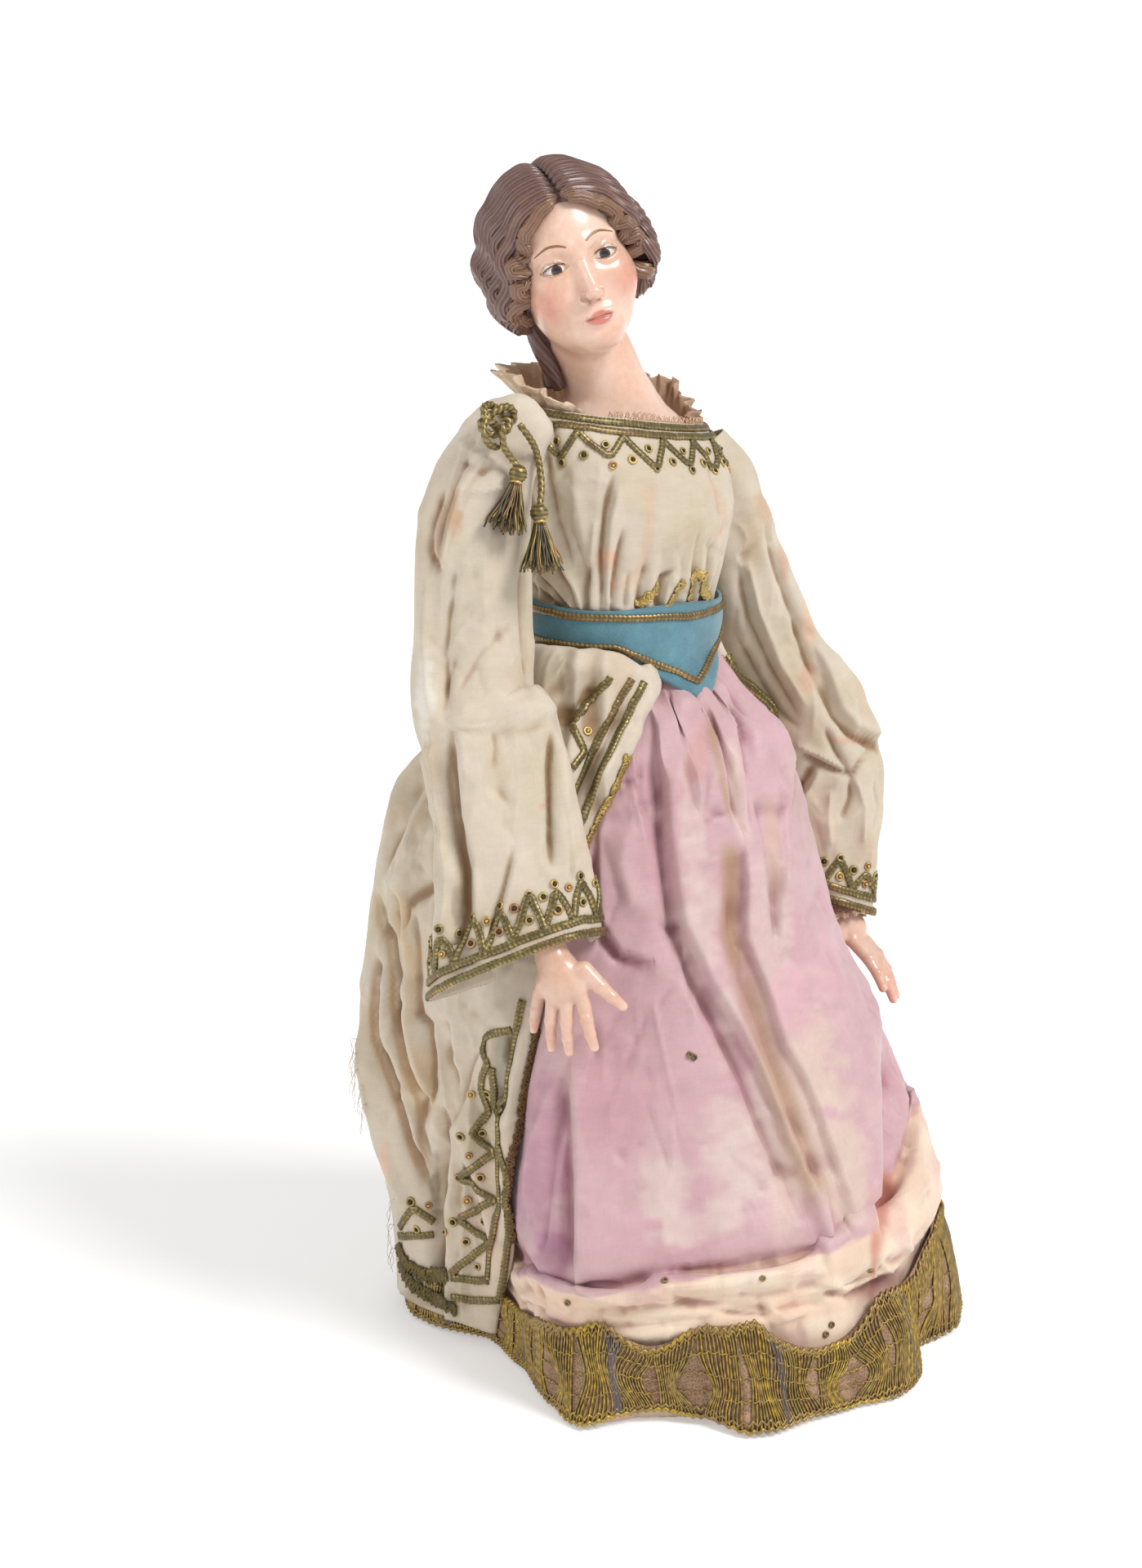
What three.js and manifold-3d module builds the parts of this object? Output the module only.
// Presepe figure: a kneeling woman in a silk dress, with carved and painted head and hands.
// Millimetres, +Z up. The origin is the middle of her hem on the floor.
// She faces -Y and her left side is +X. Angles round her are in degrees from -Y towards +X.
import * as THREE from "three";
import { LoftGeometry } from "three/addons/geometries/LoftGeometry.js";
import { mergeVertices } from "three/addons/utils/BufferGeometryUtils.js";
import Module from "manifold-3d";

const wasm = await Module();
wasm.setup();

// Driving dimensions
const SKIRT_TOP = 268; // height of the waist seam
const WAIST_WIDTH = 76; // the bodice at the waist, side to side
const WAIST_DEPTH = 60; // and front to back
const WAIST_BACK = 29; // how far the waist sits behind the middle of the hem
const HEM_BAND = 33; // height of the gold lace on the skirt's hem
const SKIRT_WALL = 9; // cloth, lining and hem round the hollow under the skirt
const HOLLOW_TOP = 88; // the stuffed body starts this far above the floor
const BASE_THICK = 14; // wooden base inside the hem
const LACE_THICK = 2.4;
const LACE_TUCK = 2.8; // the skirt behind the lace is this much narrower
const CLOTH_THICK = 3; // the folded overskirt, outside the underskirt
const BELT_TOP = 287;
const BELT_BOTTOM = 269;
const BELT_SLOPE = 0.06; // it sits lower on her left side
const BELT_POINT = 18; // how far the belt's front point reaches below its lower edge
const BELT_THICK = 2.4;
const NECK_TOP = 352; // the bodice's neckline in front
const SHOULDER_FALL = 0.19; // rise over run of the shoulder line, down towards her left
const HEAD_HEIGHT = 70; // chin to crown
const HEAD_AT = [-20, 38.5, 413.5]; // middle of the head, on the eye line
const HEAD_TURN = -33; // where she looks, round the vertical
const HEAD_PITCH = 9; // face lifted
const HEAD_ROLL = 17; // crown leaning to her right
const NECK_RADIUS = 16.3;
const FINGER = 3; // radius of a finger at its root
const FRILL_HEIGHT = 16;
const TASSEL_RADIUS = 7.5;
const GAP = 0.35; // clearance between pieces that touch

const rad = THREE.MathUtils.degToRad;
const clamp = THREE.MathUtils.clamp;
const lerp = THREE.MathUtils.lerp;
const ease = THREE.MathUtils.smoothstep;
const V = (x, y, z) => new THREE.Vector3(x, y, z);
const bell = (x, width) => Math.exp(-((x / width) ** 2));
const turnTo = (a, b) => ((((a - b + 180) % 360) + 360) % 360) - 180;

// Catmull-Rom interpolation of a table's rows at a fractional row number.
function rowAt(table, s) {
  const i = clamp(Math.floor(s), 0, table.length - 2);
  const t = s - i;
  const [p, q, r, w] = [-1, 0, 1, 2].map((k) => table[clamp(i + k, 0, table.length - 1)]);
  return q.map((v, k) => {
    const a = (r[k] - p[k]) / 2;
    const b = (w[k] - v) / 2;
    return v + t * (a + t * (3 * (r[k] - v) - 2 * a - b + t * (2 * (v - r[k]) + a + b)));
  });
}

// Row number at which a table's first column, rising or falling, has a value.
function rowNumber(table, value) {
  const up = table[1][0] > table[0][0];
  let i = 0;
  while (i < table.length - 2 && (up ? table[i + 1][0] < value : table[i + 1][0] > value)) i++;
  return i + clamp((value - table[i][0]) / (table[i + 1][0] - table[i][0]), 0, 1);
}

// Solid of a closed geometry, whichever way its faces wind.
function solid(geometry) {
  const plain = new THREE.BufferGeometry();
  plain.setAttribute("position", geometry.getAttribute("position"));
  plain.setIndex(geometry.index);
  const merged = mergeVertices(plain, 1e-4);
  const tri = new Uint32Array(merged.index.array);
  const make = () =>
    new wasm.Manifold(
      new wasm.Mesh({
        numProp: 3,
        vertProperties: merged.attributes.position.array,
        triVerts: tri,
      }),
    );
  const made = make();
  if (made.volume() > 0) return made;
  for (let i = 0; i < tri.length; i += 3) [tri[i + 1], tri[i + 2]] = [tri[i + 2], tri[i + 1]];
  return make();
}

const middle = (ring) => ring.reduce((sum, p) => sum.add(p), V(0, 0, 0)).divideScalar(ring.length);

// Solid through a row of rings. With caps each ring has to wind with the way the row runs.
function loft(rings, caps = true) {
  const along = middle(rings[1]).sub(middle(rings[0]));
  const area = V(0, 0, 0);
  rings[0].forEach((p, i) => area.add(p.clone().cross(rings[0][(i + 1) % rings[0].length])));
  const ordered = area.dot(along) < 0 ? rings.map((ring) => [...ring].reverse()) : rings;
  return solid(new LoftGeometry(ordered, { capStart: caps, capEnd: caps }));
}

const join = (parts) => parts.reduce((sum, part) => sum.add(part));
const cut = (body, ...tools) => tools.reduce((left, tool) => left.subtract(tool), body);

// The skirts

// Radius of the underskirt from its own axis at each height, in four directions round her:
// her right front, left front, left back and right back.
const SKIRT = [
  [0, 108, 106, 113, 104],
  [HEM_BAND, 104, 107, 109, 103],
  [HEM_BAND + 13, 103, 105, 107, 104],
  [57, 106.5, 108, 106, 105],
  [94, 91, 97, 101, 107],
  [124, 82, 84, 96, 104],
  [146, 76, 76, 91, 99],
  [172, 70, 70, 84, 93],
  [204, 62, 64, 74, 83],
  [236, 50, 55, 58, 62],
  [251, 40, 42, 43, 45],
  [SKIRT_TOP, 33.4, 33.4, 33.4, 33.4],
];
const SKIRT_ROWS = [0, HEM_BAND - 1, HEM_BAND + 1, 46, 57, 74, 98, 126, 160, 198, 232, 252, SKIRT_TOP];
const COLUMNS = 44; // round the skirts and their lace

// The underskirt's creases: height and direction of both ends, depth (out is plus) and width.
const CREASES = [
  [250, -30, 180, -36, -4, 6],
  [178, -36, 80, -16, -4, 7],
  [245, -23, 175, -27, 3, 6],
  [205, -12, 160, -18, -3, 5],
  [160, -18, 68, -5, -5, 6],
  [259, -18, 217, -22, -3, 4],
  [253, -4, 203, -6, -3, 5],
  [256, 7, 223, 1, -3, 5],
  [125, -66, 56, -63, 5, 7],
  [118, 34, 60, 3, 4, 7],
  [195, -52, 172, -46, 5, 12],
  [113, 31, 84, 42, -5, 7],
  [104, 47, 90, 52, 4, 9],
];

const axisY = (z) => (WAIST_BACK * z) / SKIRT_TOP;

// The hollow at her right, where the overskirt's front edge hangs.
const hollow = (a, z) => Math.exp(-(Math.abs(turnTo(a, -102) / 25) ** 3)) * 31 * (1 - ease(z, 50, 215));

function crease(a, z, [zA, aA, zB, aB, depth, width]) {
  const t = (z - zA) / (zB - zA);
  const fade = ease(t, -0.12, 0.08) * (1 - ease(t, 0.92, 1.12));
  const offset = rad(turnTo(a, lerp(aA, aB, clamp(t, 0, 1)))) * 90;
  return depth * fade * bell(offset, width);
}

function skirtRadius(a, z) {
  const row = rowAt(SKIRT, rowNumber(SKIRT, z));
  const c = Math.cos(rad(a + 45));
  const s = Math.sin(rad(a + 45));
  const side = c > 0 ? row[1] : row[3];
  const across = s > 0 ? row[2] : row[4];
  const oval = ((WAIST_WIDTH - WAIST_DEPTH) / 4) * Math.cos(rad(2 * a)) * ease(z, 225, SKIRT_TOP);
  const smooth = c * c * side + s * s * across - oval;
  return smooth - hollow(a, z) + CREASES.reduce((sum, one) => sum + crease(a, z, one), 0);
}

const onAxis = (a, r, z) => V(r * Math.sin(rad(a)), axisY(z) - r * Math.cos(rad(a)), z);

function underskirt(grow = 0) {
  const rings = SKIRT_ROWS.map((z, i) => {
    const height = i === 0 ? z - grow : i === SKIRT_ROWS.length - 1 ? z + grow : z;
    const tuck = z < HEM_BAND ? LACE_TUCK : 0;
    return Array.from({ length: COLUMNS }, (_, k) => {
      const a = (k * 360) / COLUMNS;
      return onAxis(a, skirtRadius(a, z) - tuck + grow, height);
    });
  });
  return loft(rings);
}

// Ring inside the skirt at one height, in from its outside.
function insideRing(z, inset) {
  return Array.from({ length: COLUMNS / 2 }, (_, k) => {
    const a = (k * 720) / COLUMNS;
    return onAxis(a, skirtRadius(a, Math.max(z, 0)) - LACE_TUCK - SKIRT_WALL - inset, z);
  });
}

// The space under the skirt, below the stuffed body.
function skirtHollow() {
  return loft([
    insideRing(-1, 0),
    insideRing(HEM_BAND, 0),
    insideRing(HOLLOW_TOP - SKIRT_WALL, 3),
    insideRing(HOLLOW_TOP, 3 + SKIRT_WALL),
  ]);
}

// The board that the figure stands on, inside the hem.
function baseBoard() {
  const foot = insideRing(0, GAP);
  const head = foot.map((p) => V(p.x, p.y, BASE_THICK));
  return cut(loft([foot, head]), underskirt(GAP).subtract(skirtHollow()));
}

// A band round the skirt's hem.
function hemLace() {
  const top = HEM_BAND - 1.3;
  const inner = GAP - LACE_TUCK;
  const outer = inner + LACE_THICK;
  const rings = [];
  for (let k = 0; k <= COLUMNS; k++) {
    const a = ((k % COLUMNS) * 360) / COLUMNS;
    const at = (z, r) => onAxis(a, skirtRadius(a, z) + r, z);
    rings.push([at(0.3, inner), at(0.3, outer), at(top / 2, outer + 1.2), at(top, outer), at(top, inner)]);
  }
  return loft(rings, false);
}

// The overskirt's front edges at each height: direction of her right one and of her left one.
const OPENING = [
  [8, -108, 88],
  [37, -99, 88],
  [71, -92, 88],
  [96, -85, 87],
  [142, -76, 84],
  [204, -64, 76],
  [232, -49, 66],
  [249, -36, 56],
  [258, -23, 46],
  [SKIRT_TOP, -18, 42],
];
const PLEAT = 1.7; // depth of the overskirt's small pleats
const PLEATS = 16;

function overskirtRadius(a, z) {
  const flare = 5 * bell(turnTo(a, -135), 50) * ease(z, 40, 110) * (1 - ease(z, 225, 262));
  const pleat = PLEAT * Math.cos(rad(a * PLEATS)) * ease(z, 20, 80) * (1 - ease(z, 235, 262));
  return skirtRadius(a, z) + GAP + CLOTH_THICK + flare + pleat;
}

// Everything in front of the overskirt's two edges.
function openingSpace() {
  const rings = [];
  for (let z = 6; z <= SKIRT_TOP; z += 16.35) {
    const [, right, left] = rowAt(OPENING, rowNumber(OPENING, z));
    const arc = [0.25, 0.5, 0.75].map((t) => onAxis(lerp(right, left, t), 190, z));
    const edge = (a) => [30, 60, 90, 130].map((r) => onAxis(a, r, z));
    rings.push([onAxis(0, 0.01, z), ...edge(right), ...arc, ...edge(left).reverse()]);
  }
  return loft(rings);
}

// The overskirt is a shell outside the underskirt, open in front.
function overskirt(grow = 0) {
  const rows = [8, HEM_BAND - 1, ...SKIRT_ROWS.filter((z) => z > HEM_BAND && z < SKIRT_TOP), SKIRT_TOP - 2];
  const shell = (radius, spare) =>
    loft(
      rows.map((z, i) => {
        const height = i === 0 ? z - spare : i === rows.length - 1 ? z + spare : z;
        return Array.from({ length: COLUMNS }, (_, k) => {
          const a = (k * 360) / COLUMNS;
          return onAxis(a, radius(a, z), height);
        });
      }),
    );
  const outside = shell((a, z) => overskirtRadius(a, z) + grow, grow);
  if (grow > 0) return outside;
  const inside = shell((a, z) => skirtRadius(a, z) + (z < HEM_BAND ? 2 : GAP), 1);
  return cut(outside, inside, openingSpace());
}

// The bodice and the belt

// Height in front, half width, half depth and the middle's distance behind the hem's middle.
const BODICE = [
  [SKIRT_TOP + GAP, WAIST_WIDTH / 2, WAIST_DEPTH / 2, WAIST_BACK],
  [SKIRT_TOP + 16, WAIST_WIDTH / 2 + 0.5, WAIST_DEPTH / 2 + 1, WAIST_BACK],
  [NECK_TOP - 52, 41, 34, 28],
  [NECK_TOP - 32, 45, 37, 28],
  [NECK_TOP - 14, 48, 35, 31],
  [NECK_TOP - 4, 47, 30, 33],
  [NECK_TOP + 3, 41, 26, 34],
];

// The upper body leans: heights rise towards her right shoulder.
const lean = (x, z) => z - SHOULDER_FALL * x * ease(z, 285, 345);

function bodiceRing(z, grow, columns) {
  const [, w, d, y] = rowAt(BODICE, rowNumber(BODICE, z));
  return Array.from({ length: columns }, (_, k) => {
    const a = rad((k * 360) / columns);
    const gather = 0.8 * Math.cos(9 * a) * (1 - ease(z, 300, 325)) * ease(z, 284, 292);
    const x = (w + gather + grow) * Math.sin(a);
    return V(x, y - (d + gather + grow) * Math.cos(a), lean(x, z));
  });
}

function bodice(grow = 0) {
  const zs = [BODICE[0][0], BELT_TOP + 1, ...BODICE.slice(2).map(([z]) => z)];
  const rings = zs.map((z) => bodiceRing(z, grow, 30));
  if (grow > 0) {
    rings[0].forEach((p) => (p.z -= grow));
    rings.at(-1).forEach((p) => (p.z += grow));
  }
  return loft(rings);
}

// A stiff belt round the waist seam, with a point in front that lies on the skirt.
function belt(grow = 0) {
  const columns = 36;
  const rings = [];
  for (let k = 0; k <= columns; k++) {
    const deg = ((k % columns) * 360) / columns;
    const a = rad(deg);
    const foot = BELT_BOTTOM - BELT_POINT * Math.max(0, 1 - Math.abs(turnTo(deg, 0)) / 44) - grow;
    const at = (z, r) => {
      const x = (WAIST_WIDTH / 2 + r) * Math.sin(a);
      const height = z - BELT_SLOPE * x;
      if (height < SKIRT_TOP - 4) return onAxis(deg, skirtRadius(deg, height) + r, height);
      return V(x, WAIST_BACK - (WAIST_DEPTH / 2 + r) * Math.cos(a), height);
    };
    const [inner, outer] = [grow > 0 ? -5 : 1, BELT_THICK + GAP + grow];
    const head = BELT_TOP + grow;
    const hang = outer + 3 * (1 - bell(turnTo(deg, 0), 44));
    rings.push([
      at(foot, inner),
      at(foot, hang),
      at(BELT_BOTTOM + 7, outer + 1.4),
      at(head, outer + 1.6),
      at(head, inner + 1.3),
      at(BELT_BOTTOM + 7, inner + 0.3),
    ]);
  }
  return loft(rings, false);
}

// The sleeves

// Centre, half width, half depth and tilt in degrees of each ring, from shoulder to cuff.
// A ring's width runs across her right front, where the sleeve's broad side shows.
const RIGHT_SLEEVE = [
  [-50, 33, 357, 14, 13, 50],
  [-60, 36, 345, 17, 16, 30],
  [-67, 37, 328, 19.5, 17, 10],
  [-72, 35, 305, 22, 17, 0],
  [-75, 31, 277, 23, 17, 0],
  [-77, 24, 254, 25, 18, 0],
  [-79, 12, 222, 26.5, 17, 0],
  [-81, 6, 199, 28.5, 16, -6],
  [-84, 1, 180, 31, 16, -14],
  [-88, -3, 166, 33.5, 17, -22],
];
const LEFT_SLEEVE = [
  [38, 28, 338, 12, 13, -30],
  [45, 21, 325, 14, 15, -24],
  [50, 20, 306, 16, 15, -12],
  [59, 16, 275, 19, 15, -6],
  [70, 10, 248, 20.5, 16, -8],
  [79, 2, 227, 21, 16, -4],
  [84, -5, 203, 19.5, 15, 0],
  [81, -9, 184, 18, 14, 4],
  [78, -11, 166, 16, 13.5, 12],
  [77, -13, 156, 15.5, 13, 20],
];
const SLEEVE_COLUMNS = 16;
const ACROSS = V(Math.SQRT1_2, -Math.SQRT1_2, 0);
const FACING = V(-Math.SQRT1_2, -Math.SQRT1_2, 0);

function sleeveRing(table, s, grow, columns) {
  const [x, y, z, w, d, tilt] = rowAt(table, s);
  const before = rowAt(table, Math.max(s - 0.5, 0));
  const after = rowAt(table, Math.min(s + 0.5, table.length - 1));
  const along = V(after[0] - before[0], after[1] - before[1], after[2] - before[2]).normalize();
  const wide = ACROSS.clone().applyAxisAngle(FACING, -rad(tilt));
  wide.addScaledVector(along, -wide.dot(along) * (1 - Math.min(Math.abs(tilt) / 20, 1))).normalize();
  const deep = V(0, 0, 0).crossVectors(wide, along).normalize();
  if (deep.dot(FACING) < 0) deep.negate();
  return Array.from({ length: columns }, (_, k) => {
    const t = (k / columns) * 2 * Math.PI;
    const fold = 1 + 0.045 * Math.cos(5 * t + 1.3 * s) + 0.03 * Math.cos(3 * t - 0.9 * s);
    return V(x, y, z)
      .addScaledVector(wide, (w * fold + grow) * Math.cos(t))
      .addScaledVector(deep, (d * fold + grow) * Math.sin(t));
  });
}

function sleeve(table, grow = 0) {
  const last = table.length - 1;
  const rings = [];
  for (let s = 0; s <= last; s++) rings.push(sleeveRing(table, s, grow, SLEEVE_COLUMNS));
  return loft(rings);
}

// The open end of a cuff.
function cuffHollow(table, depth) {
  const last = table.length - 1;
  const rings = [1, 0.45, 0].map((t) => sleeveRing(table, last - depth * t, -1.8 - 3 * t, SLEEVE_COLUMNS));
  const [a, b] = [rowAt(table, last), rowAt(table, last - 0.3)];
  const on = V(a[0] - b[0], a[1] - b[1], a[2] - b[2]).setLength(4);
  rings.push(rings.at(-1).map((p) => p.clone().add(on)));
  return loft(rings);
}

// The hands

// Each hand is a list of rounded rods: start, end, start radius, end radius.
const RIGHT_HAND = [
  [[-83, -14, 176], [-84, -22, 165], 6.5, 7],
  [[-80, -29, 163], [-86, -17, 162], 5.5, 5.5],
  [[-81, -30, 159], [-81, -36, 141], FINGER, 2],
  [[-84, -25, 158], [-85, -27, 138], FINGER, 2],
  [[-87, -20, 157], [-86, -20, 137], FINGER - 0.2, 1.9],
  [[-89, -14, 157], [-87, -11, 143], FINGER - 0.5, 1.7],
  [[-79, -32, 168], [-72, -42, 156], FINGER + 0.2, 1.9],
];
const LEFT_HAND = [
  [[78, -12, 164], [77, -16, 152], 6, 6.2],
  [[74, -19, 148], [79, -22, 145], 5.2, 5.2],
  [[75, -25, 142], [75, -41, 127], FINGER, 1.9],
  [[78, -25, 141], [79, -43, 122], FINGER, 1.9],
  [[81, -24, 141], [83, -41, 122], FINGER - 0.2, 1.8],
  [[83, -22, 142], [87, -36, 125], FINGER - 0.5, 1.6],
  [[71, -19, 147], [66, -24, 138], FINGER + 0.2, 1.9],
];

// A rod with round ends that narrows from a to b.
function rod([from, to, a, b], grow = 0) {
  const start = V(...from);
  const end = V(...to);
  const along = end.clone().sub(start);
  const length = along.length();
  const profile = [];
  for (let i = 0; i <= 2; i++) {
    const t = (i / 2) * (Math.PI / 2);
    profile.push(new THREE.Vector2((a + grow) * Math.sin(t), -(a + grow) * Math.cos(t)));
  }
  for (let i = 0; i <= 2; i++) {
    const t = (i / 2) * (Math.PI / 2);
    profile.push(new THREE.Vector2((b + grow) * Math.cos(t), length + (b + grow) * Math.sin(t)));
  }
  profile[0].x = 0;
  profile.at(-1).x = 0;
  const shape = new THREE.LatheGeometry(profile, 6);
  const turn = new THREE.Quaternion().setFromUnitVectors(V(0, 1, 0), along.normalize());
  shape.applyQuaternion(turn).translate(start.x, start.y, start.z);
  return solid(shape);
}

const hand = (rods, grow = 0) => join(rods.map((one) => rod(one, grow)));

// The head

// The head's own frame is 66 units from chin to crown: z = 0 is the eye line, -y is forward.
const HEAD_UNIT = HEAD_HEIGHT / 66;
const FACE_RINGS = 21;
const FACE_COLUMNS = 28;

const ball = (p, c, r) => {
  const k0 = Math.hypot((p.x - c[0]) / r[0], (p.y - c[1]) / r[1], (p.z - c[2]) / r[2]);
  const k1 = Math.hypot((p.x - c[0]) / r[0] ** 2, (p.y - c[1]) / r[1] ** 2, (p.z - c[2]) / r[2] ** 2);
  return (k0 * (k0 - 1)) / k1;
};

// Distance to a tapering rod from a to b.
const taper = (p, a, b, ra, rb) => {
  const [A, B] = [V(...a), V(...b)];
  const t = clamp(p.clone().sub(A).dot(B.sub(A)) / B.lengthSq(), 0, 1);
  return p.distanceTo(A.addScaledVector(B, t)) - lerp(ra, rb, t);
};

const blend = (a, b, k) => {
  const h = clamp(0.5 + (0.5 * (b - a)) / k, 0, 1);
  return lerp(b, a, h) - k * h * (1 - h);
};

function faceDistance(point) {
  const p = V(Math.abs(point.x), point.y, point.z);
  let d = ball(p, [0, 4, 8], [23, 27.5, 25]);
  d = blend(d, ball(p, [0, -5, -8], [19.3, 18.6, 25]), 6);
  d = blend(d, ball(p, [10.5, -13.5, -9], [8.3, 8.4, 8.8]), 5);
  d = blend(d, ball(p, [0, -15.5, -25.5], [8.5, 7.4, 7]), 4);
  d = -blend(-d, ball(p, [9, -26, 1.2], [6.5, 5, 5.6]), 3.5);
  d = blend(d, ball(p, [8.6, -16.9, -0.3], [5.6, 5.2, 4.4]), 1);
  d = blend(d, taper(p, [0, -22, 3], [0, -28.4, -11.6], 2.1, 2.9), 2.4);
  d = blend(d, ball(p, [3.2, -25.4, -12.6], [2.5, 2.8, 2.3]), 1.4);
  d = blend(d, ball(p, [0, -23, -19], [6.4, 2.8, 1.8]), 1.4);
  return blend(d, ball(p, [0, -22.7, -22.2], [5.2, 2.8, 2]), 1.2);
}

// Hair covers the head behind a line over the forehead, before the ears and round the nape.
function hairThickness(p) {
  const side = Math.abs(p.x);
  const line = 19.5 - 0.03 * side * side;
  const front = ease(p.z + 0.75 * (p.y + 17), line - 1.5, line + 2.5);
  const nape = ease(p.z, -29, -21);
  const waves = 0.9 * Math.sin(0.55 * p.z + 0.35 * p.y) + 0.7 * Math.cos(0.6 * p.x);
  const behind = 2.6 * ease(p.y, 8, 30);
  const overEar = 3.4 * ease(side, 13, 20) * bell(p.z + 5, 14);
  const crown = 2.2 * ease(p.z, 12, 30);
  return front * nape * (4.2 + waves + behind + overEar - crown);
}

function headRadius(direction) {
  const from = V(0, 0, -5);
  let r = 50;
  for (let i = 0; i < 60; i++) {
    const d = faceDistance(from.clone().addScaledVector(direction, r));
    if (Math.abs(d) < 0.01) break;
    r -= d * 0.9;
  }
  return r + hairThickness(from.addScaledVector(direction, r));
}

const HEAD_FRAME = new THREE.Matrix4()
  .makeRotationZ(rad(HEAD_TURN))
  .multiply(new THREE.Matrix4().makeRotationX(-rad(HEAD_PITCH)))
  .multiply(new THREE.Matrix4().makeRotationY(-rad(HEAD_ROLL)))
  .setPosition(...HEAD_AT);

function head(grow = 0) {
  const rings = [];
  for (let i = 0; i <= FACE_RINGS; i++) {
    const polar = lerp(2, 178, i / FACE_RINGS) + 7 * Math.sin((i / FACE_RINGS) * Math.PI * 2);
    rings.push(
      Array.from({ length: FACE_COLUMNS }, (_, k) => {
        const t = (k / FACE_COLUMNS) * 2 * Math.PI;
        const turn = t - 0.42 * Math.sin(t);
        const direction = V(0, -1, 0).applyAxisAngle(V(0, 0, 1), turn);
        direction.multiplyScalar(Math.sin(rad(polar))).setZ(Math.cos(rad(polar)));
        const r = headRadius(direction);
        const p = direction.multiplyScalar(r).add(V(0, 0, -5)).multiplyScalar(HEAD_UNIT);
        return p.multiplyScalar(1 + grow / 30).applyMatrix4(HEAD_FRAME);
      }),
    );
  }
  return loft(rings);
}

// Neck and shoulder plate: centre, half width and half depth of each ring.
const NECK = [
  [0, 33, 330, 34, 24],
  [0, 33, 346, 33, 23],
  [0, 33, 352, 28, 20],
  [0, 34, 357, 22, 18],
  [-1, 35, 363, 18, 17],
  [-4, 37, 371, NECK_RADIUS, NECK_RADIUS],
  [-9, 40, 384, NECK_RADIUS, NECK_RADIUS],
  [-14, 42, 397, 13, 13],
];

// A lock of hair that hangs behind her neck.
const LOCK = [
  [[-27, 44, 397], [-24, 46, 384], 7.5, 6],
  [[-24, 46, 384], [-22, 43, 366], 6, 3.5],
];

function neck(grow = 0) {
  const rings = [];
  for (let s = 0; s <= NECK.length - 1; s++) {
    const [x, y, z, w, d] = rowAt(NECK, s);
    const tilt = SHOULDER_FALL * (1 - ease(z, 352, 374));
    rings.push(
      Array.from({ length: 16 }, (_, k) => {
        const a = (k / 16) * 2 * Math.PI;
        const dx = (w + grow) * Math.sin(a);
        return V(x + dx, y - (d + grow) * Math.cos(a), z - tilt * dx);
      }),
    );
  }
  if (grow > 0) {
    rings[0].forEach((p) => (p.z -= grow));
  }
  return loft(rings);
}

// Lace and trim

// The frill stands round the back of the neckline, from shoulder to shoulder.
function neckFrill() {
  const rings = [];
  for (let a = 60; a <= 300; a += 6) {
    const back = (1 - Math.cos(rad(a))) / 2;
    const tall = 2.5 + (FRILL_HEIGHT - 2.5) * ease(back, 0.25, 0.7);
    const wave = 1.4 * Math.cos(rad(a * 9));
    const at = (r, up) => {
      const x = (37 + r) * Math.sin(rad(a));
      return V(x, 33.5 - (25 + r) * Math.cos(rad(a)), lean(x, NECK_TOP) + 3.6 + up);
    };
    const flare = wave + 6 * ease(back, 0.4, 0.8);
    rings.push([at(-3.5, 0), at(-1, 0), at(2.5 + flare, tall), at(0.2 + flare, tall)]);
  }
  return loft(rings);
}

// A short tube of lace round the left wrist.
function wristLace() {
  const rings = [];
  const start = V(78, -12.5, 158);
  const along = V(-1, -6, -12).normalize();
  const side = V(1, 0, 0).addScaledVector(along, -along.x).normalize();
  const other = V(0, 0, 0).crossVectors(along, side);
  for (let i = 0; i <= 4; i++) {
    const r = 8.2 + 0.9 * i;
    rings.push(
      Array.from({ length: 20 }, (_, k) => {
        const a = (k / 20) * 2 * Math.PI;
        const w = r + 0.7 * Math.cos(5 * a) * (i / 4);
        return start
          .clone()
          .addScaledVector(along, i * 2.4)
          .addScaledVector(side, w * Math.cos(a))
          .addScaledVector(other, w * Math.sin(a));
      }),
    );
  }
  return loft(rings);
}

function knot() {
  const shape = new THREE.TorusKnotGeometry(5, 2.1, 30, 4, 2, 3);
  shape.scale(1.15, 0.8, 0.9).rotateX(rad(70)).translate(-70, 25, 363);
  return solid(shape);
}

// A tassel of looped metal threads with a length of its cord above.
function tassel(top, foot, cordTop) {
  const R = TASSEL_RADIUS;
  const L = V(...foot).distanceTo(V(...top));
  const shape = [
    [0, 0],
    [R * 0.45, 0],
    [R * 0.6, L * 0.14],
    [R * 0.42, L * 0.26],
    [R * 0.66, L * 0.45],
    [R, L * 0.86],
    [R * 0.85, L],
    [0, L],
  ].map(([x, y]) => new THREE.Vector2(x, -y));
  const body = new THREE.LatheGeometry(shape, 10);
  const down = V(...foot).sub(V(...top)).normalize();
  body.applyQuaternion(new THREE.Quaternion().setFromUnitVectors(V(0, -1, 0), down));
  body.translate(...top);
  return join([solid(body), rod([cordTop, top, 1.5, 1.7])]);
}

// Materials

const paint = (color, roughness, metalness = 0) =>
  new THREE.MeshStandardMaterial({ color, roughness, metalness });
const FLESH = paint("#e6b9a3", 0.25);
const CREAM = paint("#d8ceb9", 0.85);
const PINK = paint("#d3a3b8", 0.7);
const BLUE = paint("#4f8ba6", 0.9);
const GOLD_THREAD = paint("#8c7444", 0.5, 0.6);
const NET = paint("#cdb094", 0.9);
const WOOD = paint("#8a6a4a", 0.8);

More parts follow.
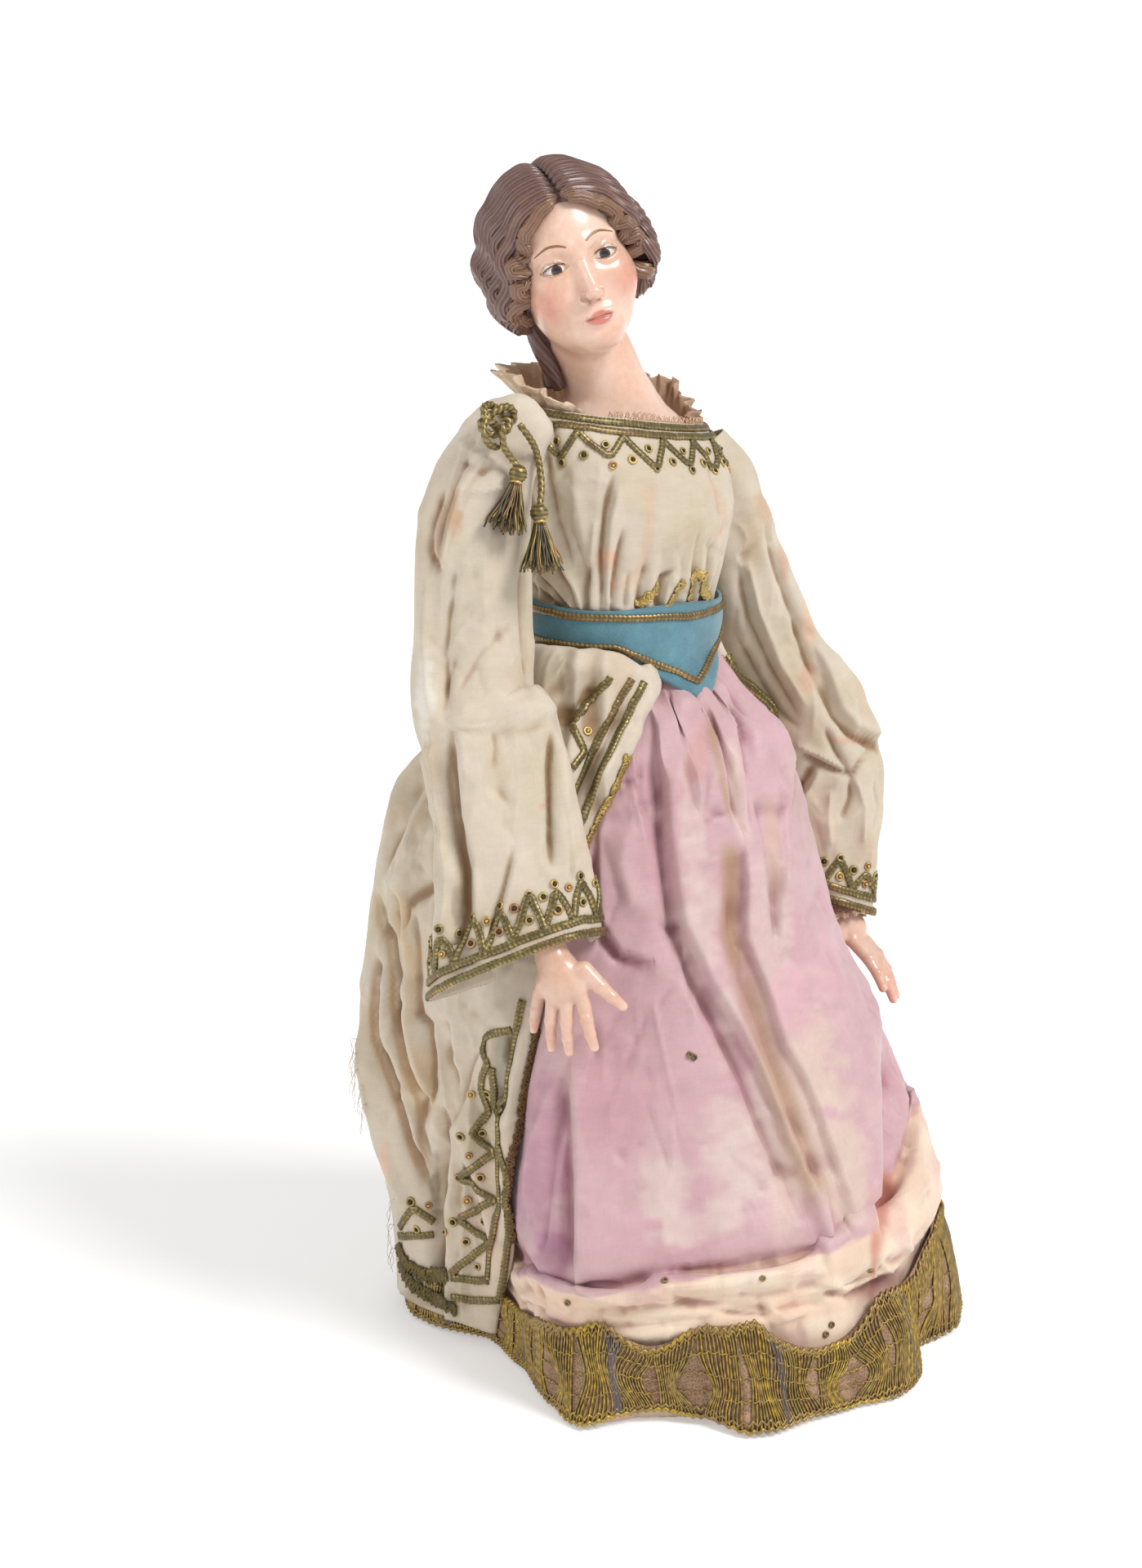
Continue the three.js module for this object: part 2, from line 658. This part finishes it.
// Mesh of a solid, placed by its own middle.
function piece(name, body, material) {
  const mesh = body.getMesh();
  const geometry = new THREE.BufferGeometry();
  geometry.setAttribute("position", new THREE.Float32BufferAttribute(mesh.vertProperties, 3));
  geometry.setIndex(new THREE.Uint32BufferAttribute(mesh.triVerts, 1));
  geometry.computeBoundingBox();
  const middle = geometry.boundingBox.getCenter(V(0, 0, 0)).round();
  geometry.translate(-middle.x, -middle.y, -middle.z);
  geometry.computeVertexNormals();
  const made = new THREE.Mesh(geometry, material);
  made.name = name;
  made.position.copy(middle);
  return made;
}

// The pieces

const skirt = cut(underskirt(), skirtHollow());
const skirtSpace = underskirt(GAP);
const lace = hemLace();
const train = overskirt();
const trainSpace = overskirt(GAP);
const neckSpace = neck(GAP);
const waist = cut(bodice(), neckSpace);
const waistSpace = bodice(GAP);
const girdle = cut(belt(), skirtSpace, trainSpace);
const girdleSpace = belt(GAP);
const below = [skirtSpace, trainSpace, waistSpace, girdleSpace];
const rightHand = cut(hand(RIGHT_HAND), skirtSpace, trainSpace);
const leftHand = cut(hand(LEFT_HAND), skirtSpace, trainSpace);
const cuffLace = cut(wristLace(), hand(LEFT_HAND, GAP), skirtSpace, trainSpace);
const rightArm = cut(
  sleeve(RIGHT_SLEEVE),
  ...below,
  neckSpace,
  cuffHollow(RIGHT_SLEEVE, 0.9),
  hand(RIGHT_HAND, GAP),
);
const leftArm = cut(
  sleeve(LEFT_SLEEVE),
  ...below,
  neckSpace,
  cuffHollow(LEFT_SLEEVE, 0.9),
  hand(LEFT_HAND, GAP),
  wristLace(),
);
const collar = cut(neckFrill(), waistSpace, neckSpace, sleeve(RIGHT_SLEEVE, GAP), sleeve(LEFT_SLEEVE, GAP));
const shoulderSpace = [sleeve(RIGHT_SLEEVE, GAP), waistSpace, neckSpace];
const bow = cut(knot(), ...shoulderSpace, neckFrill());
const upperTassel = cut(tassel([-73, 10, 348], [-83, 7, 328], [-71, 18, 358]), ...shoulderSpace, knot());
const lowerTassel = cut(tassel([-69, 4, 334], [-73.5, -2.5, 313], [-66, 11, 350]), ...shoulderSpace);

const body = new THREE.Group();
body.add(piece("head", join([head(), neck(), ...LOCK.map((one) => rod(one))]), FLESH));
body.add(piece("right_hand", rightHand, FLESH));
body.add(piece("left_hand", leftHand, FLESH));

body.add(piece("base_board", baseBoard(), WOOD));

const dress = new THREE.Group();
dress.add(piece("underskirt", skirt, PINK));
dress.add(piece("overskirt", train, CREAM));
dress.add(piece("bodice", waist, CREAM));
dress.add(piece("right_sleeve", rightArm, CREAM));
dress.add(piece("left_sleeve", leftArm, CREAM));
dress.add(piece("belt", girdle, BLUE));

const trim = new THREE.Group();
trim.add(piece("hem_lace", lace, GOLD_THREAD));
trim.add(piece("neck_frill", collar, NET));
trim.add(piece("wrist_lace", cuffLace, NET));
trim.add(piece("shoulder_knot", bow, GOLD_THREAD));
trim.add(piece("tassel_upper", upperTassel, GOLD_THREAD));
trim.add(piece("tassel_lower", lowerTassel, GOLD_THREAD));

const figure = new THREE.Group();
figure.add(body, dress, trim);

export default figure;
